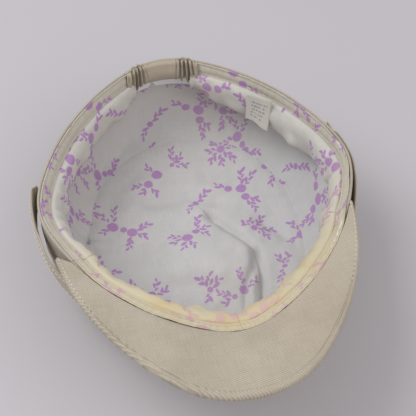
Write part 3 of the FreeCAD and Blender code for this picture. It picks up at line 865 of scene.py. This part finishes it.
thread = plain_material("sewing_thread", (0.72, 0.67, 0.55), 0.6, 2500, 0.12, sheen=0.2)
for span, start, end, side in SPANS:
    angle = np.linspace(start, end, columns_for(start, end, 0.9))
    for number, place_down in enumerate(STITCH_ROWS, start=1):
        down = np.array([place_down - 0.4, place_down, place_down + 0.4])
        points = strip_points(angle, down[:, None], 1.5, facing_bulge(down, angle) + 0.1)
        row = stitch_row("rim_stitches_%s_%d" % (span, number), points[1], grid_normals(points[::-1])[1])
        hold(row, span)

# ---------------------------------------------------------------- sweatband
# A soft padded band of the printed cotton, sewn in under the facing. Its lower edge is free: it
# stands off the lining at the back and flops inwards at the front, yellowed where it was worn.

sweatband_cloth = printed_material("sweatband_cotton", (0.60, 0.58, 0.52), 1.0)
sweat_start, sweat_width = 8.2, 17.0


def sweatband_length(angle):
    """Width of the band, which is pulled narrower here and there."""
    ends = np.exp(-((np.abs(angle - np.pi / 2) - gap_angle) / 0.09) ** 2)
    uneven_width = 1.6 * ripple(angle * SOFTNESS_PER_RADIAN, 0 * angle, 61, 60)
    return sweat_width + uneven_width - 6.0 * ends - 4.0 * front_share(angle)


def sweatband_points(angle):
    """Grid of the sweatband: a puffed curve from under the facing to a rolled free edge."""
    face_share = np.linspace(0, 1, 34)
    share = np.append(face_share, [1.02, 1.02, 0.99, 0.94])[:, None]
    puff = np.append(3.0 * np.sin(np.pi * face_share ** 0.7) ** 0.7 + 0.3, [0.2, -0.6, -1.0, -1.0])
    down = sweat_start + share * sweatband_length(angle)[None, :]
    place = angle[None, :] * SOFTNESS_PER_RADIAN
    wrinkle = 0.8 * ripple(place, down * 0.7, 71, 11) + 0.9 * ripple(place, down * 0.5, 72, 27)
    free = smooth_step(share, 0.5, 1.0) * (1.6 * np.sin(angle * 13 + 1) + 1.1 * np.sin(angle * 29))[None, :]
    bulge = puff[:, None] + wrinkle * smooth_step(share, 0, 0.2) + free * 0.8
    return strip_points(angle, down, 1.9, bulge)


for span, start, end, side in SPANS:
    start -= 0.06 if span == "back_left" else 0
    end += 0.06 if span == "back_right" else 0
    angle = np.linspace(start, end, columns_for(start, end, 1.1))
    points = sweatband_points(angle)
    sweatband = grid_mesh("sweatband_" + span, points[::-1],
                          cloth_uv(points[::-1], (start * RIM_PER_RADIAN + 71, 22)))
    sweatband.data.materials.append(sweatband_cloth)
    thicken(sweatband, 0.6)
    hold(sweatband, span)
    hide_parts("sweatband")

# ---------------------------------------------------------------- gathered back
# A knitted elastic runs in a casing of the twill at the back and draws it up: the casing is smooth
# over the middle and pleats into a fan at each end.

back_angle = np.linspace(np.pi / 2 - gap_angle, np.pi / 2 + gap_angle, 141)
spread = (back_angle - np.pi / 2) / gap_angle


def gathers(down_share):
    """Pleats of the two bundles, zero over the smooth middle, fanning out from the lower edge."""
    bundle = np.exp(-((np.abs(spread) - 0.72) / 0.22) ** 2)
    fan = (np.abs(spread) - 0.72) * (1 + 0.6 * (1 - down_share)) * 40
    return bundle * (np.cos(fan + 0.7 * np.sign(spread)) + 0.3 * np.cos(fan * 2.3))


def casing_grid(heights, insets, pleat_depth, roll):
    """Grid of one casing wall, puffed by `roll` mm over the middle and pleated at both ends."""
    x, y = oval(band_ring_values(heights), back_angle)
    share = np.linspace(0, 1, len(heights))[:, None]
    bundle = np.exp(-((np.abs(spread) - 0.72) / 0.2) ** 2)[None, :]
    pleat = gathers(share) * pleat_depth
    puff = roll * np.sin(np.pi * share) * (1 - bundle * 0.3)
    x, y = inward(x, y, insets[:, None] + pleat + puff)
    z = heights[:, None] + 1.3 * gathers(share) * smooth_step(heights, rim_z - 12, rim_z)[:, None]
    z = z + 1.6 * bundle * smooth_step(heights, rim_z - 8, rim_z)[:, None]
    return np.stack([x, y, z], -1)


outer_rows, inner_rows = 30, 34
outer_heights = np.append(np.linspace(seam_z, rim_z - 2.4, outer_rows),
                          rim_z - np.array([1.6, 0.9, 0.5, 0.4]))
outer_insets = np.append(np.zeros(outer_rows), [0.2, 0.6, 1.2, 2.0])
outer_casing_points = casing_grid(outer_heights, outer_insets, 1.7, -2.0)
outer_casing = grid_mesh("casing_outside", outer_casing_points, cloth_uv(outer_casing_points, (150, 0)))
inner_heights = np.append(rim_z - np.array([0.4, 0.5, 1.0, 1.8]),
                          np.linspace(rim_z - 3, rim_z - 17, inner_rows))
inner_insets = np.append([2.2, 3.2, 4.0, 4.3], np.full(inner_rows, 4.5))
inner_casing_points = casing_grid(inner_heights, inner_insets, 2.2, 3.4)
inner_casing = grid_mesh("casing_inside", inner_casing_points, cloth_uv(inner_casing_points, (190, 0)))
for casing_piece, node in ((outer_casing, "elastic_casing_outer"), (inner_casing, "elastic_casing_inner")):
    casing_piece.data.materials.append(twill)
    thicken(casing_piece, 0.7)
    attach(casing_piece, "cap")
    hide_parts(node)
finish_node("back_elastic", plain_material("knitted_elastic", (0.86, 0.86, 0.83), 0.85, 1800, 0.05))

# ---------------------------------------------------------------- brim
# A thin bendable board between two twill covers, bent across and sewn into the band's front seam.
# The covers are turned in at the outer edge, which makes a firm rolled seam with a stitch line.

brim_sag, brim_radius, brim_tilt = 11.0, 270.0, np.radians(10.4)
brim_half_span, brim_reach, brim_thickness = 77.3, 102.0, 3.9
nose_radius, side_radius = 50.0, 150.0


def brim_outline(share):
    """x and y of the brim's outer edge in its own plane: a side arc, the nose arc, a side arc. Each
    side arc holds the brim's end and touches the nose arc from outside."""
    nose_y = nose_radius - brim_reach
    along = np.hypot(brim_half_span, nose_y)
    near_end = (side_radius ** 2 - (side_radius - nose_radius) ** 2 + along ** 2) / (2 * along)
    off_line = np.sqrt(side_radius ** 2 - near_end ** 2)
    ux, uy = -brim_half_span / along, nose_y / along
    side_x = brim_half_span + near_end * ux + off_line * uy
    side_y = near_end * uy - off_line * ux
    start, join = np.arctan2(-side_y, brim_half_span - side_x), np.arctan2(nose_y - side_y, -side_x)
    side_sweep, nose_sweep = start - join, np.pi + 2 * join
    side_run, nose_run = side_sweep * side_radius, nose_sweep * nose_radius
    distance = share * (2 * side_run + nose_run)
    first = start - distance / side_radius
    middle = join - (distance - side_run) / nose_radius
    last = start - (2 * side_run + nose_run - distance) / side_radius
    x = np.where(distance < side_run, side_x + side_radius * np.cos(first),
                 np.where(distance < side_run + nose_run, nose_radius * np.cos(middle),
                          -side_x - side_radius * np.cos(last)))
    y = np.where(distance < side_run, side_y + side_radius * np.sin(first),
                 np.where(distance < side_run + nose_run, nose_y + nose_radius * np.sin(middle),
                          side_y + side_radius * np.sin(last)))
    return x, y


def brim_height(x, y):
    """Upper face of the brim: a cylinder of the bend radius, tilted about the line of its ends."""
    bend = brim_radius - np.sqrt(brim_radius ** 2 - x ** 2)
    return rim_z - brim_sag + bend + (hinge_y - y) * np.tan(brim_tilt)


edge_share = np.linspace(0, 1, 261)
outer_x, outer_y = brim_outline(edge_share)
outer_x = outer_x - 1.0
outer_y = hinge_y + outer_y * np.cos(brim_tilt)
seam_angle = np.linspace(-brim_end_angle, -np.pi + brim_end_angle, 261)
(inner_x,), (inner_y,) = oval(RIM, seam_angle, inset=-0.4)


def brim_grid(shares, drop, inset, bumps):
    """Grid from the band seam (share 0) to the outer edge (share 1), `drop` mm below the upper face
    and pulled in by `inset` mm."""
    shares = shares[:, None]
    x = inner_x + (outer_x - inner_x) * shares
    y = inner_y + (outer_y - inner_y) * shares
    distance = np.hypot(x, y - hinge_y)
    pull = 1 - inset[:, None] / np.maximum(distance, 1)
    x, y = x * pull, hinge_y + (y - hinge_y) * pull
    z = brim_height(x, y) - drop[:, None] + bumps(x, y, shares)
    return np.stack([x, y, z], -1)


def under_bumps(x, y, shares):
    """The cloth's slight looseness over the board and the low ridge of the turned-in edge."""
    ridge = 0.35 * np.exp(-((shares - 0.955) / 0.018) ** 2)
    ridge = ridge - 0.25 * np.exp(-((shares - 0.925) / 0.012) ** 2)
    return 0.28 * ripple(x, y, 81, 44) * smooth_step(shares, 0, 0.1) + 0.08 * ripple(x, y, 82, 12) + ridge


def top_bumps(x, y, shares):
    """The top cover's looseness, slighter than the under cover's."""
    return 0.2 * ripple(x, y, 85, 50)


flat_rows, edge_rows = 64, 7
flat_shares = np.linspace(0, 1, flat_rows)
curl = np.linspace(0, np.pi / 2, edge_rows + 1)[1:]
cover_shares = np.append(flat_shares, np.ones(edge_rows))
edge_drop = np.append(np.zeros(flat_rows), 1.9 * (1 - np.cos(curl)))
edge_inset = 1.3 * np.append(smooth_step(flat_shares, 0.9, 1.0), 1 - np.sin(curl))
under_points = brim_grid(cover_shares, edge_drop, edge_inset, under_bumps)[:, ::-1]
top_points = brim_grid(cover_shares, brim_thickness - edge_drop + 0.05, edge_inset, top_bumps)
under_cover = grid_mesh("brim_under_cloth", under_points, under_points[..., :2])
top_cover = grid_mesh("brim_top_cloth", top_points, top_points[..., :2])
for cover, node in ((under_cover, "brim_under_cover"), (top_cover, "brim_top_cover")):
    cover.data.materials.append(twill)
    thicken(cover, 0.6)
    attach(cover, "brim")
    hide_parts(node)
finish_node("brim_board", plain_material("brim_board", (0.82, 0.82, 0.80), 0.5, 400, 0.03))

# ---------------------------------------------------------------- strap
# A band of doubled twill runs round the front outside the band, over the top of the brim, and is
# tacked down at both sides, where a bar of thread pinches it. It stands off between the tacks.

strap_low, strap_high = (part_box("front_strap")[k][2] * 1000 for k in (0, 1))
strap_middle, strap_half = (strap_low + strap_high) / 2, (strap_high - strap_low) / 2
strap_end_y, tack_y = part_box("front_strap")[1][1] * 1000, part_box("strap_tack_left")[0][1] * 1000 + 6
strap_rise = 3.4        # it has ridden up at both sides
search = np.linspace(-np.pi * 1.4, np.pi * 0.4, 3000)
search_x, search_y = oval(band_ring_values(strap_middle), search)
strap_span = search[search_y[0] < strap_end_y - np.where(search_x[0] < 0, 7, 2)]
strap_angle = np.linspace(strap_span[0], strap_span[-1], 301)


def strap_line(angle):
    """Middle line of the strap: its x and y on the band, how far it stands off, how much it is
    pinched at a tack, how far it rides up, and where it bulges on the left."""
    x, y = oval(band_ring_values(strap_middle), angle)
    left = np.exp(-((x[0] + 70) / 16) ** 2 - ((y[0] + 32) / 20) ** 2)
    side_share = smooth_step(y[0], -45, -18)
    off = 3.0 + np.where(x[0] < 0, 0.5, -0.7) * side_share + 2.6 * left
    off = off + 0.4 * ripple(angle * SOFTNESS_PER_RADIAN, 0 * angle, 91, 50)
    pinch = np.exp(-((y[0] - tack_y) / 2.6) ** 2) * (np.abs(x[0]) > 40)
    off = off * (1 - pinch) + 1.7 * pinch
    return x[0], y[0], off, pinch, strap_rise * side_share + 1.0 * left, left


def strap_points(angle, around_angle, grow=0.0):
    """Grid of the strap: rows go round its flattened section, columns along it."""
    x, y, off, pinch, rise, left = strap_line(angle)
    to_tip = np.minimum(angle - angle[0], angle[-1] - angle)
    half_thick = (0.85 + 0.25 * pinch) * smooth_step(to_tip, -1e-6, 0.008)
    up = np.sign(np.sin(around_angle)) * np.abs(np.sin(around_angle)) ** 0.45
    out = np.sign(np.cos(around_angle)) * np.abs(np.cos(around_angle)) ** 0.7
    place = angle * SOFTNESS_PER_RADIAN
    width = (1 - 0.2 * pinch) * (1 - 0.06 * ripple(place, 0 * angle, 93, 40))
    height = up[:, None] * strap_half * width
    buckle = 0.35 * ripple(place[None, :], height, 94, 18) + 0.5 * left * np.sin(height * 0.25)
    offset = off + out[:, None] * (half_thick + grow) + buckle * (1 - pinch) + 0.09 * left * height
    px, py = inward(x, y, -offset)
    z = strap_middle + height + rise
    z = z - 0.8 * np.exp(-(to_tip * SOFTNESS_PER_RADIAN / 4) ** 2) * np.sign(up)[:, None]
    return np.stack([px, py, z], -1)


section_angle = np.linspace(0, full_turn, 29)
points = strap_points(strap_angle, section_angle)
strap_uv = cloth_uv(points, (20, 5))
strap = grid_mesh("strap_twill", points.transpose(1, 0, 2)[:, ::-1],
                  strap_uv.transpose(1, 0, 2)[:, ::-1], closed=True)
strap.data.materials.append(twill)
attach(strap, "strap")
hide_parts("front_strap")
for number, rise in ((1, 0.78), (2, -0.78)):
    seam = np.arcsin(abs(rise) ** (1 / 0.45)) * np.sign(rise)
    rows = strap_points(strap_angle[4:-4], np.array([seam - 0.05, seam, seam + 0.05]), 0.1)
    row = stitch_row("strap_stitches_%d" % number, rows[1], grid_normals(rows)[1], 2.8, 2.1, 0.22)
    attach(row, "strap")

# ---------------------------------------------------------------- strap tacks
# Bars of beige thread wound over and over across the strap's stitched ends.

for side, sign in (("left", -1), ("right", 1)):
    low, high = (np.array(corner) * 1000 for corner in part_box("strap_tack_" + side))
    bar_height = np.linspace(low[2], high[2], 97)
    turn_share = np.abs(bar_height - strap_middle) / (strap_half * 0.62)
    swell = np.clip(1 - turn_share ** 8, 0, 1) * (1 + 0.16 * np.sin(bar_height * full_turn / 0.75))
    tack_angle = np.linspace(0, full_turn, 13)
    centre_x = (low[0] + high[0]) / 2 - sign * 0.1
    wound = np.broadcast_arrays(centre_x + 0.75 * swell[:, None] * np.cos(tack_angle),
                                tack_y + 0.85 * swell[:, None] * np.sin(tack_angle),
                                bar_height[:, None] + strap_rise)
    points = np.stack(wound, -1)
    tack = grid_mesh("thread_tack_" + side, points, closed=True)
    tack.data.materials.append(thread)
    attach(tack, "strap")
    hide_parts("strap_tack_" + side)

# ---------------------------------------------------------------- care label
# A doubled tab of woven satin sewn in at the sweatband's top seam. Its lower corner curls, and it
# carries rows of worn marks that can't be read.

label_width, label_drop = 15.0, 20.0
label_middle, label_top, label_turn = np.array([53.3, 55.0]), 64.0, np.radians(36)
label_along = np.array([np.cos(label_turn), -np.sin(label_turn)])
label_inward = np.array([label_along[1], -label_along[0]])


def label_sheet(depth):
    """One ply of the label: hangs from its top edge, leans in, and its right lower corner droops."""
    across, down = np.meshgrid(np.linspace(-0.5, 0.5, 22), np.linspace(0, 1, 27))
    corner = smooth_step(across + 0.5, 0.35, 1.0) * down ** 2
    stand = depth + 3.0 + 1.8 * down ** 1.3 + 0.7 * np.sin(across * 5 + 0.6) * down + 2.2 * corner
    plan = label_middle + across[..., None] * label_width * label_along
    plan = plan + label_inward * stand[..., None]
    z = label_top - down * label_drop * 0.93 - 2.2 * corner
    uv = np.stack([(across + 0.5) * label_width, (1 - down) * label_drop], -1)
    return np.concatenate([plan, z[..., None]], -1), uv


satin, wiring, shader = new_material("label_satin", {"Roughness": 0.45, "Sheen Weight": 0.2})
tape_across, tape_up = wiring.parts(cloth_coordinates(wiring))[:2]
row_pitch = 2.7
row = wiring.math("FRACT", wiring.math("DIVIDE", tape_up, row_pitch))
in_row = wiring.ramp(wiring.math("ABSOLUTE", wiring.math("SUBTRACT", row, 0.5)), 0.30, 0.16)
row_number = wiring.math("FLOOR", wiring.math("DIVIDE", tape_up, row_pitch))
mark_place = wiring.add("ShaderNodeCombineXYZ", [(0, wiring.math("MULTIPLY", tape_across, 1.5)),
                                                 (1, wiring.math("MULTIPLY", row_number, 7.3)),
                                                 (2, wiring.math("MULTIPLY", row, 0.8))])
strokes = wiring.ramp(wiring.noise(mark_place, 1.0, 3.0, 0.7), 0.47, 0.54)
half_row = wiring.math("ADD", 2.6, wiring.math("MULTIPLY", wiring.noise(mark_place, 0.02, 0.0), 4.5))
from_middle = wiring.math("ABSOLUTE", wiring.math("SUBTRACT", tape_across, label_width / 2))
in_width = wiring.ramp(wiring.math("SUBTRACT", from_middle, half_row), 0.4, -0.2)
in_height = wiring.math("MULTIPLY", wiring.ramp(tape_up, 2.0, 2.7), wiring.ramp(tape_up, 16.8, 16.2))
marks = wiring.math("MULTIPLY", wiring.math("MULTIPLY", in_row, strokes),
                    wiring.math("MULTIPLY", in_width, in_height))
ribs = wiring.math("SINE", wiring.math("MULTIPLY", tape_up, 16.0))
ground = wiring.mix(wiring.ramp(ribs, -1.0, 1.0), (0.60, 0.57, 0.50, 1), (0.68, 0.655, 0.59, 1))
wiring.links.new(wiring.mix(wiring.math("MULTIPLY", marks, 0.72), ground, (0.12, 0.12, 0.13, 1)),
                 shader.inputs["Base Color"])
surface_bump(wiring, shader, ribs, 0.2, 0.0001)

front_ply, front_uv = label_sheet(0.55)
back_ply, back_uv = label_sheet(0.0)
fold_turn = np.linspace(0, np.pi, 5)[1:-1, None, None]
lower_edge = (front_ply[-1] + back_ply[-1]) / 2
fold = lower_edge + (front_ply[-1] - back_ply[-1]) / 2 * np.cos(fold_turn)
fold = fold - np.array([0, 0, 0.27]) * np.sin(fold_turn)
label_points = np.concatenate([front_ply, fold, back_ply[::-1]])
label_uv = np.concatenate([front_uv, np.repeat(front_uv[-1:], 3, 0), back_uv[::-1] * [1, 0]])
care_label = grid_mesh("satin_label", label_points, label_uv)
care_label.data.materials.append(satin)
thicken(care_label, 0.18)
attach(care_label, "label")
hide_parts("care_label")
label_rows = front_ply[1:4]
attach(stitch_row("label_stitches", label_rows[1] + np.append(label_inward, 0) * 0.12,
                   grid_normals(label_rows)[1], 2.6, 1.9, 0.2), "label")

# ---------------------------------------------------------------- brim stitching
# One row of machine stitches keeps the brim's turned-in edge, on the underside and on the top.

for number, (drop, up_sign) in enumerate(((-0.15, 1), (brim_thickness + 0.25, -1)), start=1):
    lines = brim_grid(np.array([0.944, 0.948, 0.952]), np.full(3, drop), np.full(3, 0.6), under_bumps)
    normals = grid_normals(lines)[1]
    normals = normals * np.sign(normals[:, 2:3]) * up_sign
    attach(stitch_row("brim_stitches_%d" % number, lines[1], normals, 3.0, 2.2, 0.22), "brim")

bpy.context.view_layer.update()
